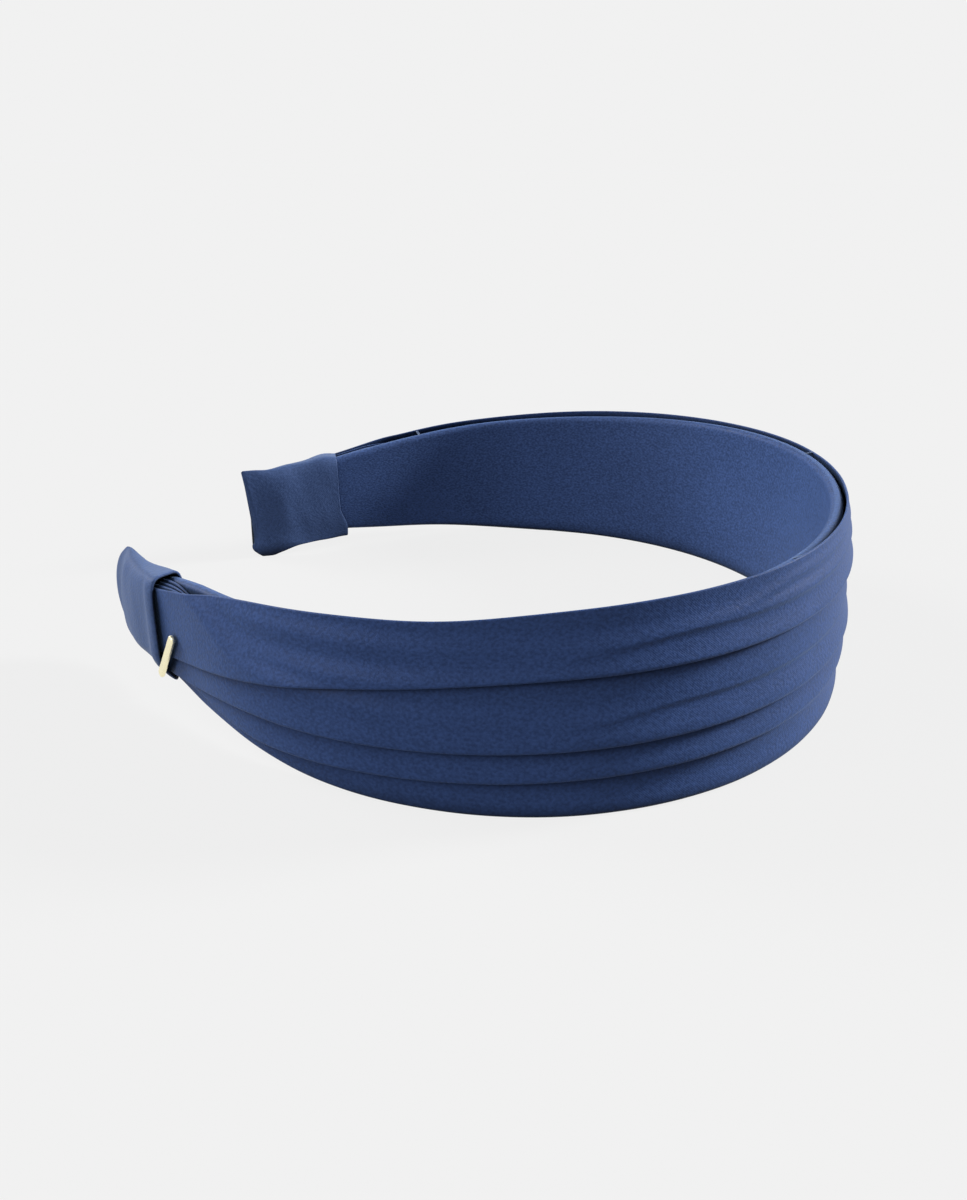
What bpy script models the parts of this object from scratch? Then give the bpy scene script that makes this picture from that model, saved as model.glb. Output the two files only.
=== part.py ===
"""Pleated satin headband: a springy hoop, its lining, four fanned pleat strips, two end sleeves and a metal tag.

The shapes are worked out in the hoop's own frame: s runs along the inner face from the crown to the ends,
r points outwards from that face and z runs across the band. The hoop is then laid on its lower edge.
"""

import math

import bmesh
import bpy
import numpy as np
from mathutils import Matrix

# Driving dimensions in metres and degrees
HALF_LENGTH = 0.190          # inner face, from the crown's middle to one end
CROWN_RADIUS = 0.105         # inner face at the crown's middle
SIDE_RADIUS = 0.0592         # inner face round the sides of the head
LEG_RADIUS = 0.900           # the legs are almost straight
CROWN_EASE = 0.057           # length over which the crown radius eases into the side radius
LEG_START = 0.1455           # where the side arc has half turned into the leg
LEG_EASE = 0.010             # half the length of that change
CROWN_WIDTH = 0.0356         # over the pleat strips
TIP_WIDTH = 0.0145
TAPER_POWER = 4.3
REST_TILT = 2.3              # the lower edge is bowed, so the hoop rocks this far towards its ends
REST_FLAT_DEPTH = 0.0005     # the soft lower rim is pressed flat this deep where it lies

# The lined band stops short of the strips' upper edge, and its tips are rounded inside the sleeves
BAND_INSET = 0.0013
INSET_FADE_START = 0.125
INSET_FADE = 0.030
TIP_ROUND = 0.0022
TIP_ROUND_START = 0.157
TIP_ROUND_LENGTH = 0.016
LEG_SWAY = (0.139, 0.017)    # where on the legs the strips ride up a little, and over what length
LEG_SWAY_TOP = 0.0006
LEG_SWAY_BOTTOM = 0.0005

# Layers, outwards from the inner face
LINING_THICKNESS = 0.00035
RIM_WALL = 0.0009            # the lining is doubled at the rims
CORE_INNER = 0.0005
CORE_OUTER = 0.0019
CORE_ROOM = 0.0002           # between the core's edges and the rims
CORE_EASE = 0.0004           # bevel along the core's edges
HEM_FACE = 0.0024            # outside of the hems on the outer face
HEM_DEPTH = 0.007
HEM_GAP = 0.0008             # half the gap where the two hems meet at the tips
STRIP_BASE = 0.0026
STRIP_THICKNESS = 0.0006
STRIP_PITCH = 0.0008
STRIP_PUFF = 0.0004          # swell of the soft fold along each strip's lower edge
STRIP_PUFF_REACH = 0.0016
PUFF_FADE_START = 0.125      # the folds are pressed flat towards the sleeves
PUFF_FADE = 0.033
STRIP_WIDTH = 0.014
FOLD_THINNING = 0.25         # share of its thickness that a strip loses at its folded lower edge
TOP_THINNING = 0.7           # and at its upper edge
CROWN_GAP = 0.0003           # the top strip stands off the rim over the crown
CROWN_GAP_END = (0.45, 0.25) # where that gap starts to close and over what length, as shares
TUCK_MARGIN = 0.0018         # a strip stays lifted this far past the edge of the strip under it
TUCK_SLOPE = 0.0035

# Folded lower edges: height over the crown, change towards the ends, its start and its length as shares
TOP_FOLD = (0.0068, -0.0105, 0.45, 0.50)
UPPER_FOLD = (-0.0049, -0.0016, 0.70, 0.16)
LOWER_FOLD = (-0.0102, 0.0035, 0.70, 0.16)
BOTTOM_FOLD_RISE = 0.0006    # the lowest fold lies this far above the lined rim
GATHER = (0.81, 0.06)        # where the strips draw in to enter the sleeves
GATHER_TOP = 0.0009
GATHER_BOTTOM = 0.0005

# Ends along s
BAND_END = 0.180
STRIP_END = 0.172
SLEEVE_MOUTH = 0.165
SLEEVE_POCKET_END = 0.183
SLEEVE_END = 0.1905
SLEEVE_WALL = 0.0005
SLEEVE_MOUTH_INNER = -0.00025
SLEEVE_MOUTH_OUTER = 0.00585
SLEEVE_TIP_OUTER = 0.00265
SLEEVE_TUCK = 0.00055        # the pocket is this much narrower than the strips outside it
SLEEVE_SEAM = 0.0007         # half thickness at the end seam

# Outline of each sewn sleeve: share of its length, upper edge and lower edge
PLAIN_OUTLINE = ((0.0, 0.0103, -0.0105), (0.3, 0.0094, -0.0110), (0.6, 0.0090, -0.0117), (1.0, 0.0092, -0.0129))
TAGGED_OUTLINE = ((0.0, 0.0107, -0.0094), (0.3, 0.0097, -0.0091), (0.6, 0.0100, -0.0088), (1.0, 0.0110, -0.0077))
PLAIN_CORNERS = 0.0006       # how far the corners run past the middle of the end seam
TAGGED_CORNERS = -0.0045

# Metal tag: a bar pressed onto the strips beside one sleeve
TAG_PLACE = 0.1604
TAG_HEIGHT = -0.0022
TAG_LENGTH = 0.0118
TAG_WIDTH = 0.0016
TAG_METAL = 0.0007
TAG_TILT = 37.0
TAG_EDGE = 0.0002
TAG_FACE = 0.0059            # just clear of the stacked strips

# Facets
STATIONS = 49
STRIP_COLUMNS = (8, 10, 10, 10)
SLEEVE_POINTS = 20
SLEEVE_RINGS = 7
HOOP_STEPS = 1900

STRIP_NAMES = ("pleat_strip_top", "pleat_strip_upper", "pleat_strip_lower", "pleat_strip_bottom")

SATIN = (0.040, 0.072, 0.200, 1.0)
LINING_SATIN = (0.034, 0.062, 0.170, 1.0)
CORE_PLASTIC = (0.030, 0.032, 0.040, 1.0)
GOLD = (0.830, 0.650, 0.290, 1.0)


def smooth(x):
    """Eases from 0 to 1 as x goes from 0 to 1."""
    x = np.clip(x, 0.0, 1.0)
    return x * x * (3.0 - 2.0 * x)


def hoop_table():
    """Arc length, position and heading along the inner face, by adding up its curvature."""
    s = np.linspace(0.0, SLEEVE_END + PLAIN_CORNERS, HOOP_STEPS)
    crown, side, leg = 1.0 / CROWN_RADIUS, 1.0 / SIDE_RADIUS, 1.0 / LEG_RADIUS
    bend = crown + (side - crown) * smooth(s / CROWN_EASE)
    bend = bend + (leg - bend) * smooth((s - LEG_START + LEG_EASE) / (2.0 * LEG_EASE))
    step = s[1] - s[0]

    def summed(values):
        return np.concatenate([[0.0], np.cumsum((values[1:] + values[:-1]) * step / 2.0)])

    heading = summed(bend)
    return s, summed(-np.sin(heading)), summed(np.cos(heading)), heading


HOOP_S, HOOP_X, HOOP_Y, HOOP_HEADING = hoop_table()


def place(s, r, z):
    """Point at arc length s (negative on the tagged arm), r outside the inner face, at height z."""
    side = -1.0 if s < 0.0 else 1.0
    heading = np.interp(abs(s), HOOP_S, HOOP_HEADING)
    x = np.interp(abs(s), HOOP_S, HOOP_X) + r * math.cos(heading)
    y = np.interp(abs(s), HOOP_S, HOOP_Y) + r * math.sin(heading)
    return (x, side * y, z)


def half_width(s):
    """Half the width over the pleat strips."""
    t = min(abs(s) / HALF_LENGTH, 1.0)
    return (TIP_WIDTH + (CROWN_WIDTH - TIP_WIDTH) * (1.0 - t**TAPER_POWER) ** 2) / 2.0


def leg_sway(s):
    return math.exp(-(((abs(s) - LEG_SWAY[0]) / LEG_SWAY[1]) ** 2))


def band_edges(s):
    """Lower and upper rim of the lined band under the strips."""
    inset = BAND_INSET * (1.0 - smooth((abs(s) - INSET_FADE_START) / INSET_FADE))
    rounded = TIP_ROUND * smooth((abs(s) - TIP_ROUND_START) / TIP_ROUND_LENGTH)
    half = half_width(s) - rounded
    return LEG_SWAY_BOTTOM * leg_sway(s) - half, half - inset


def rest_height(point):
    """Height of a point once the hoop is laid down, before it is moved onto the floor."""
    tilt = math.radians(REST_TILT)
    return point[2] * math.cos(tilt) + point[0] * math.sin(tilt)


def stations(end):
    return np.linspace(-end, end, STATIONS)


def floor_level():
    lowest = min(rest_height(place(s, HEM_FACE / 2.0, band_edges(s)[0])) for s in stations(BAND_END))
    return lowest + REST_FLAT_DEPTH


FLOOR = floor_level()


def on_floor(point):
    """Lifts a point that would lie under the floor, so that the soft rim is flat there."""
    tilt = math.radians(REST_TILT)
    lowest = (FLOOR - point[0] * math.sin(tilt)) / math.cos(tilt)
    return (point[0], point[1], max(point[2], lowest))


def fold_height(fold, t):
    height, change, start, length = fold
    return height + change * smooth((t - start) / length)


def strip_edges(s):
    """Lower and upper edge of each strip at s, top strip first."""
    t = abs(s) / HALF_LENGTH
    half = half_width(s)
    gather = smooth((t - GATHER[0]) / GATHER[1])
    rim = half + LEG_SWAY_TOP * leg_sway(s) - GATHER_TOP * gather
    bottoms = [fold_height(fold, t) for fold in (TOP_FOLD, UPPER_FOLD, LOWER_FOLD)]
    bottoms.append(BOTTOM_FOLD_RISE + LEG_SWAY_BOTTOM * leg_sway(s) + GATHER_BOTTOM * gather - half)
    tops = [rim] + [min(bottom + STRIP_WIDTH, rim) for bottom in bottoms[1:]]
    return bottoms, tops


def strip_lift(index, s, z):
    """Inner face of a strip at height z: it rises over every strip that it covers there."""
    _, tops = strip_edges(s)
    t = abs(s) / HALF_LENGTH
    lift = STRIP_BASE
    if index == 0:
        lift += CROWN_GAP * (1.0 - smooth((t - CROWN_GAP_END[0]) / CROWN_GAP_END[1]))
    for top in tops[index + 1:]:
        lift += STRIP_PITCH * (1.0 - smooth((z - top - TUCK_MARGIN) / TUCK_SLOPE))
    return lift


def strip_section(index, s):
    """Closed ring round one folded strip: up its outer face and down its inner face."""
    bottoms, tops = strip_edges(s)
    columns = STRIP_COLUMNS[index]
    low, high = bottoms[index], tops[index]
    cover = (bottoms[index - 1] if index else high) - 2.0 * STRIP_PUFF_REACH
    pressed = 1.0 - smooth((abs(s) - PUFF_FADE_START) / PUFF_FADE)
    outer, inner = [], []
    for column in range(columns + 1):
        u = column / columns
        z = low + (high - low) * u
        lift = strip_lift(index, s, z)
        edge = abs(2.0 * u - 1.0) ** 6
        thin = FOLD_THINNING if u < 0.5 else TOP_THINNING
        puff = STRIP_PUFF * math.exp(-(((z - low - STRIP_PUFF_REACH) / STRIP_PUFF_REACH) ** 2))
        bare = 1.0 - smooth((z - cover) / STRIP_PUFF_REACH)
        wall = STRIP_THICKNESS * (1.0 - thin * edge) + puff * bare * pressed * (1.0 - edge)
        outer.append(place(s, lift + wall, z))
        inner.append(place(s, lift, z))
    return outer + inner[::-1]


def lining_section(s):
    """Closed ring of the lining: round the outside, then back along the core."""
    low, high = band_edges(s)
    middle = HEM_FACE / 2.0
    corner = middle * (1.0 - math.sqrt(0.5))
    depth = min(HEM_DEPTH, (high - low) / 2.0 - HEM_GAP)
    rim = [(HEM_FACE, depth), (HEM_FACE, middle), (HEM_FACE - corner, corner)]
    rim += [(middle, 0.0), (corner, corner), (0.0, middle)]
    outside = [(r, high - inwards) for r, inwards in rim]
    outside += [(r, low + inwards) for r, inwards in rim[::-1]]
    pocket = [(HEM_FACE - LINING_THICKNESS, depth), (HEM_FACE - LINING_THICKNESS, RIM_WALL)]
    pocket += [(LINING_THICKNESS, RIM_WALL)]
    inside = [(r, high - inwards) for r, inwards in pocket]
    inside += [(r, low + inwards) for r, inwards in pocket[::-1]]
    ring = [on_floor(place(s, r, z)) for r, z in outside]
    return ring + [place(s, r, z) for r, z in inside[::-1]]


def core_section(s):
    low, high = band_edges(s)
    room = RIM_WALL + CORE_ROOM
    quarter = [(CORE_OUTER, room + CORE_EASE), (CORE_OUTER - CORE_EASE, room)]
    quarter += [(CORE_INNER + CORE_EASE, room), (CORE_INNER, room + CORE_EASE)]
    ring = [(r, high - inwards) for r, inwards in quarter]
    ring += [(r, low + inwards) for r, inwards in quarter[::-1]]
    return [place(s, r, z) for r, z in ring]


def rounded_ring(s, r_low, r_high, z_low, z_high, power, corners):
    """Rounded-box ring across the band; its upper and lower ends run further along s by corners."""
    ring = []
    for point in range(SLEEVE_POINTS):
        turn = 2.0 * math.pi * (point + 0.5) / SLEEVE_POINTS
        across = math.copysign(abs(math.cos(turn)) ** (2.0 / power), math.cos(turn))
        up = math.copysign(abs(math.sin(turn)) ** (2.0 / power), math.sin(turn))
        r = (r_low + r_high + (r_high - r_low) * across) / 2.0
        z = (z_low + z_high + (z_high - z_low) * up) / 2.0
        ring.append(place(s + math.copysign(corners * abs(up) ** 3, s), r, z))
    return ring


def sleeve_rings(side, outline, corners):
    """Rings from the bottom of the pocket out to its mouth, then over the outside to the end seam."""
    length = SLEEVE_END - SLEEVE_MOUTH
    shares, uppers, lowers = zip(*outline)
    inside, outside = [], []
    for s in np.linspace(SLEEVE_MOUTH, SLEEVE_POCKET_END, SLEEVE_RINGS):
        share = (s - SLEEVE_MOUTH) / length
        thin = smooth((s - STRIP_END) / (SLEEVE_END - STRIP_END))
        outer = SLEEVE_MOUTH_OUTER + (SLEEVE_TIP_OUTER - SLEEVE_MOUTH_OUTER) * thin
        room = half_width(s) - SLEEVE_TUCK
        inside.append(rounded_ring(side * s, SLEEVE_MOUTH_INNER, outer, -room, room, 8.0, 0.0))
        upper = np.interp(share, shares, uppers)
        lower = np.interp(share, shares, lowers)
        walls = (SLEEVE_MOUTH_INNER - SLEEVE_WALL, outer + SLEEVE_WALL)
        outside.append(rounded_ring(side * s, *walls, lower, upper, 8.0 - 3.0 * share, corners * share**3))
    middle = (SLEEVE_MOUTH_INNER + SLEEVE_TIP_OUTER) / 2.0
    seam = (middle - SLEEVE_SEAM, middle + SLEEVE_SEAM)
    outside.append(rounded_ring(side * SLEEVE_END, *seam, lowers[-1], uppers[-1], 5.0, corners))
    return inside[::-1] + outside


def material(name, colour, roughness, metallic):
    made = bpy.data.materials.new(name)
    made.use_nodes = True
    shader = made.node_tree.nodes["Principled BSDF"]
    shader.inputs["Base Color"].default_value = colour
    shader.inputs["Roughness"].default_value = roughness
    shader.inputs["Metallic"].default_value = metallic
    return made


def add_object(name, mesh, parent, collection, finish):
    made = bpy.data.objects.new(name, mesh)
    made.parent = parent
    mesh.materials.append(finish)
    mesh.shade_smooth()
    mesh.set_sharp_from_angle(angle=math.radians(50.0))
    collection.objects.link(made)
    return made


def loft(name, rings):
    """Mesh through closed rings of equal count, capped at both ends."""
    shape = bmesh.new()
    loops = [[shape.verts.new(point) for point in ring] for ring in rings]
    count = len(loops[0])
    for first, second in zip(loops, loops[1:]):
        for corner in range(count):
            after = (corner + 1) % count
            shape.faces.new((first[corner], first[after], second[after], second[corner]))
    shape.faces.new(loops[0][::-1])
    shape.faces.new(loops[-1])
    bmesh.ops.recalc_face_normals(shape, faces=shape.faces[:])
    bmesh.ops.triangulate(shape, faces=shape.faces[:], quad_method="SHORT_EDGE", ngon_method="EAR_CLIP")
    mesh = bpy.data.meshes.new(name)
    shape.to_mesh(mesh)
    shape.free()
    return mesh


def tag_mesh(name):
    """A bar with rounded ends and eased edges, standing on the strips' outer face."""
    shape = bmesh.new()
    bmesh.ops.create_cube(shape, size=1.0)
    bmesh.ops.scale(shape, verts=shape.verts[:], vec=(TAG_METAL, TAG_WIDTH, TAG_LENGTH))
    ends = [edge for edge in shape.edges if abs(edge.verts[0].co.x - edge.verts[1].co.x) > TAG_METAL / 2.0]
    bmesh.ops.bevel(shape, geom=ends, offset=TAG_WIDTH * 0.45, segments=4, profile=0.5, affect="EDGES")
    shape.normal_update()
    rims = [edge for edge in shape.edges if edge.calc_face_angle() > math.radians(60.0)]
    bmesh.ops.bevel(shape, geom=rims, offset=TAG_EDGE, segments=2, profile=0.5, affect="EDGES")
    mesh = bpy.data.meshes.new(name)
    shape.to_mesh(mesh)
    shape.free()
    return mesh


def tag_matrix():
    """From the bar's own axes (out, along the band, up) to its place on the hoop."""
    heading = -np.interp(TAG_PLACE, HOOP_S, HOOP_HEADING)
    middle = Matrix.Translation(place(-TAG_PLACE, TAG_FACE + TAG_METAL / 2.0, TAG_HEIGHT))
    return middle @ Matrix.Rotation(heading, 4, "Z") @ Matrix.Rotation(math.radians(-TAG_TILT), 4, "X")


def build():
    for old in list(bpy.data.objects):
        bpy.data.objects.remove(old)
    parts = bpy.data.collections.new("pleated_headband")
    bpy.context.scene.collection.children.link(parts)
    hoop = bpy.data.objects.new("hoop_frame", None)
    parts.objects.link(hoop)

    satin = material("navy_satin", SATIN, 0.45, 0.0)
    lining = material("lining_satin", LINING_SATIN, 0.50, 0.0)
    plastic = material("core_plastic", CORE_PLASTIC, 0.55, 0.0)
    gold = material("gold_metal", GOLD, 0.28, 1.0)

    core = loft("band_core", [core_section(s) for s in stations(BAND_END)])
    made = [add_object("band_core", core, hoop, parts, plastic)]
    inner = loft("inner_lining", [lining_section(s) for s in stations(BAND_END)])
    made.append(add_object("inner_lining", inner, hoop, parts, lining))
    for index, name in enumerate(STRIP_NAMES):
        strip = loft(name, [strip_section(index, s) for s in stations(STRIP_END)])
        made.append(add_object(name, strip, hoop, parts, satin))
    tagged = loft("end_sleeve_tagged", sleeve_rings(-1.0, TAGGED_OUTLINE, TAGGED_CORNERS))
    made.append(add_object("end_sleeve_tagged", tagged, hoop, parts, satin))
    plain = loft("end_sleeve_plain", sleeve_rings(1.0, PLAIN_OUTLINE, PLAIN_CORNERS))
    made.append(add_object("end_sleeve_plain", plain, hoop, parts, satin))
    tag = tag_mesh("metal_tag")
    tag.transform(tag_matrix())
    made.append(add_object("metal_tag", tag, hoop, parts, gold))

    # The hoop is laid on its lower edge, with the middle of its outline over the origin.
    tilt = Matrix.Rotation(math.radians(-REST_TILT), 4, "Y")
    points = [tilt @ vertex.co for piece in made for vertex in piece.data.vertices]
    middle_x = (min(p.x for p in points) + max(p.x for p in points)) / 2.0
    middle_y = (min(p.y for p in points) + max(p.y for p in points)) / 2.0
    hoop.rotation_euler = tilt.to_euler()
    hoop.location = (-middle_x, -middle_y, -FLOOR)


build()
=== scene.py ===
"""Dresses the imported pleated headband: lining, pleat strips, end sleeves, metal tag, thread and stage.

Each cloth piece starts as a flat sheet and is laid round the hoop by a formula. Places on the hoop are
given as s along its inner face from the crown (below 0 on the tagged arm), r outwards from that face and
z across the band. Lengths are in metres.
"""

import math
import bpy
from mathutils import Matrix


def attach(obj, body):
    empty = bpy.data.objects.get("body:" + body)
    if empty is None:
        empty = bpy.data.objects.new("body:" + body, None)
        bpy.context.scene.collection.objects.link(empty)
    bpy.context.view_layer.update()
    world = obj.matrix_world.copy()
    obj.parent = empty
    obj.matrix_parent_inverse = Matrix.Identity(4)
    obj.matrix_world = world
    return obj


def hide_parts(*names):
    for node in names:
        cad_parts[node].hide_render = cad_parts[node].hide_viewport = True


bl_info = {
    "name": "Pleated Headband",
    "version": (1, 0, 0),
    "blender": (4, 5, 0),
    "location": "View3D > Sidebar > Headband",
    "description": "Builds the cloth pieces, metal tag, thread and stage of a pleated satin headband",
    "category": "Object",
}

import bpy
import numpy as np
from mathutils import Matrix, Vector

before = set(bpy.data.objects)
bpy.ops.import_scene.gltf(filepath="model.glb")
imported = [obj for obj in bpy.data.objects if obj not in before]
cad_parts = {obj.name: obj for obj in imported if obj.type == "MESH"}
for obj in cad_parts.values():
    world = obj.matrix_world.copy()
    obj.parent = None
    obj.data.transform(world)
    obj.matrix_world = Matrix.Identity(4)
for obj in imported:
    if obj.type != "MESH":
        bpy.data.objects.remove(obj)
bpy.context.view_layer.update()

STRIP_NAMES = ("pleat_strip_top", "pleat_strip_upper", "pleat_strip_lower", "pleat_strip_bottom")

# Folded lower edges: height over the crown, change towards the ends, its start and its length as shares
FOLDS = ((0.0068, -0.0105, 0.45, 0.50), (-0.0049, -0.0016, 0.70, 0.16), (-0.0102, 0.0035, 0.70, 0.16))
BOTTOM_FOLD_RISE = 0.0004    # the lowest fold lies this far above the lined rim

# Where the strips draw in to enter the sleeves and over what length, as shares, and how far at each rim
GATHER = (0.81, 0.06)
GATHER_TOP = 0.0002
GATHER_BOTTOM = 0.0005

# Where on the legs the strips ride up a little, over what length, and how far at each rim
LEG_SWAY = (0.140, 0.015)
LEG_SWAY_TOP = 0.0006
LEG_SWAY_BOTTOM = 0.0005

# Where the strips' upper edges close up under the rim, over what length, and the step from one to the next
FAN = (0.136, 0.024, 0.00025)

# Changes that peak along the band: size, place and half length
RIM_SAG = (0.0004, 0.045, 0.022)         # lining at the lower rim, beside the crown
RIM_DIP = (0.0006, -0.104, 0.012)        # top strip's edge, on the tagged arm

# Changes that grow towards an end: size, where they start and over what length
MOUTH_RISE = (0.0008, 0.138, 0.026)      # lined upper rim, beside the tagged sleeve
PAGES = (0.00055, 0.153, 0.010)          # upper edge of each inner strip over the one outside it, there
SLEEVE_DRAW = (0.0013, 0.1640, 0.008)    # folds that draw up inside the sleeves
TIP_ROUND = (0.0030, 0.165, 0.012)       # lined band's rims, rounded inside the sleeves

# How far the lined band stops short of the strips' upper edge, at each place along s
BAND_INSET = (
    (-0.155, 0.0), (-0.125, 0.0013), (-0.050, 0.0013), (-0.020, 0.0008), (0.0, 0.0005), (0.035, 0.0004),
    (0.062, 0.0006), (0.080, 0.0009), (0.096, 0.0011), (0.111, 0.0010), (0.127, 0.0006), (0.143, 0.0003),
    (0.158, 0.0),
)

# Layers, outwards from the hoop's inner face
HEM_FACE = 0.0024
HEM_DEPTH = 0.007
HEM_GAP = 0.0008             # half of the least gap between the two hems
STRIP_BASE = 0.0026
STRIP_PITCH = (0.00044, 0.0008)    # from strip to strip, drawn tight over the crown and at the sleeves
PITCH_EASE = (0.050, 0.080)        # where that starts to change, and over what length
TUCK_MARGIN = 0.0018         # how far past a covered strip's edge the strip over it stays lifted
TUCK_SLOPE = 0.0035          # over what length it then comes down
CROWN_GAP = 0.0002           # how far the top strip stands off over the crown
CROWN_GAP_END = (0.45, 0.25)       # where it starts to close and over what length, as shares

# Ends along s
BAND_END = 0.180
STRIP_END = 0.172
POCKET_END = 0.181

# Waves in cloth laid by hand: share, waves along s and waves across z
RIPPLES = ((0.5, 95.0, 0.0), (0.3, 210.0, 300.0), (0.2, 430.0, -450.0))

# Satin weave, on the cloth's own lengths
NOISE_SPAN = (0.30, 0.70)            # where most of a noise's values lie
GRAIN_STRETCH = (1.0, 1.2, 1.0)
GRAIN_TURN = (0.7, 0.5, 0.6)
FINE_GRAIN = (1750.0, 1.0, 0.5)      # scale, detail and roughness
BROAD_GRAIN = (60.0, 3.0, 0.5)
BROAD_SHADE = (0.94, 1.06)
GRAIN_GLOSS = 0.06
WEAVE_SCALE = 1500.0
WEAVE_DISTORTION = 1.5
WEAVE_HEIGHT = 0.15

# Cloth finish; its colour is darkened by painted shade where ambient occlusion finds creases, folds and
# gaps
CLOTH_BUMP = (0.60, 0.00012)         # strength and height
CLOTH_SPECULAR = 0.08
SHEEN_ROUGHNESS = 0.45
BLUE_SHEEN = (0.38, 0.60, 1.0)
PALE_SHEEN = (0.70, 0.85, 1.0)
WHITE_SHEEN = (1.0, 1.0, 1.0)
PAINTED_SHADE_SAMPLES = 8
PAINTED_SHADE_REACH = 0.0038
PAINTED_SHADE_SPAN = (0.36, 0.97)           # how open the cloth is where the painted shade is deepest, and where it ends
PAINTED_SHADE_FACTORS = (0.12, 1.0)           # the painted shade's factor on the colour at those two

# Photograph: its height and focal length in its own pixels
PHOTO_HEIGHT = 1200
FOCAL_PIXELS = 1156.6
SENSOR = 36.0    # in millimetres

PRECISION = 5    # digits of a length in the panel


def length(name, description, default):
    return bpy.props.FloatProperty(
        name=name, description=description, default=default, unit="LENGTH", precision=PRECISION
    )


def colour(name, description, default):
    return bpy.props.FloatVectorProperty(
        name=name, description=description, default=default, subtype="COLOR", size=3, min=0.0, max=1.0
    )


class HeadbandHoop(bpy.types.PropertyGroup):
    """Shape and place of the hoop"""

    half_length: length("Half length", "Inner face from the crown to one end", 0.190)
    crown_radius: length("Crown radius", "Inner face at the crown", 0.105)
    side_radius: length("Side radius", "Inner face round the sides", 0.0592)
    leg_radius: length("Leg radius", "Inner face of the almost straight legs", 0.900)
    crown_ease: length("Crown ease", "Length from the crown radius to the side radius", 0.057)
    leg_start: length("Leg start", "Where the side arc has half turned into the leg", 0.1455)
    leg_ease: length("Leg ease", "Half the length of that change", 0.010)
    crown_width: length("Crown width", "Width over the strips at the crown", 0.0356)
    tip_width: length("Tip width", "Width over the strips at the tips", 0.0145)
    taper_power: bpy.props.FloatProperty(
        name="Taper", description="Power of the taper in width", default=4.3
    )
    rest_tilt: bpy.props.FloatProperty(
        name="Rest tilt",
        description="Tilt of the hoop as it lies",
        default=math.radians(2.3),
        subtype="ANGLE",
    )
    rest_place: bpy.props.FloatVectorProperty(
        name="Rest place",
        description="Where the crown's middle lies",
        default=(0.064866, 0.0, 0.018296),
        unit="LENGTH",
    )


class HeadbandCloth(bpy.types.PropertyGroup):
    """Cloth sizes"""

    cloth: length("Cloth", "Thickness of the satin", 0.00022)
    strip_width: length("Strip width", "Width of a folded strip", 0.014)
    strip_thickness: length("Strip thickness", "A pressed strip, both layers", 0.00046)
    fold_swell: length("Fold swell", "Extra thickness of the soft fold", 0.0010)
    fold_reach: length("Fold reach", "How far up a strip the swell reaches", 0.0027)


class HeadbandColours(bpy.types.PropertyGroup):
    """Colours; the sleeve and lining colours are the strips' satin made lighter as painted light"""

    satin: colour("Satin", "Navy satin of the strips", (0.0330, 0.0630, 0.176))
    # Sleeve and lining: the strips' navy satin painted lighter, standing in for light that these pieces get
    # too little of
    sleeve: colour("Sleeve", "Satin of the end sleeves", (0.0510, 0.0870, 0.203))
    lining: colour("Lining", "Satin of the lining", (0.0400, 0.0730, 0.190))
    core: colour("Core", "Plastic of the hidden core", (0.030, 0.032, 0.040))
    gold: colour("Gold", "Plating of the tag", (0.98, 0.90, 0.60))
    thread: colour("Thread", "Sewing thread", (0.16, 0.22, 0.36))


def smooth(x):
    """Eases from 0 to 1 as x goes from 0 to 1."""
    x = np.clip(x, 0.0, 1.0)
    return x * x * (3.0 - 2.0 * x)


def bell(x):
    return np.exp(-x * x)


def grown(s, change):
    """A change that grows along s: its size, where it starts and over what length."""
    size, start, reach = change
    return size * smooth((s - start) / reach)


def peaked(s, change):
    """A change that peaks along s: its size, place and half length."""
    size, place, half_length = change
    return size * bell((s - place) / half_length)


def ripple(s, z):
    """Slow unevenness of cloth laid by hand, about one either way."""
    return sum(share * np.sin(along * s + across * z) for share, along, across in RIPPLES)


def through(x, points):
    """Smooth curve through a short list of (x, y) points."""
    xs, ys = (np.array(column) for column in zip(*points))
    slopes = np.gradient(ys, xs)
    span = np.clip(np.searchsorted(xs, x, side="right") - 1, 0, len(xs) - 2)
    width = xs[span + 1] - xs[span]
    t = np.clip((x - xs[span]) / width, 0.0, 1.0)
    bulge = width * t * (1.0 - t) * (slopes[span] * (1.0 - t) - slopes[span + 1] * t)
    return ys[span] + (ys[span + 1] - ys[span]) * smooth(t) + bulge


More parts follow.
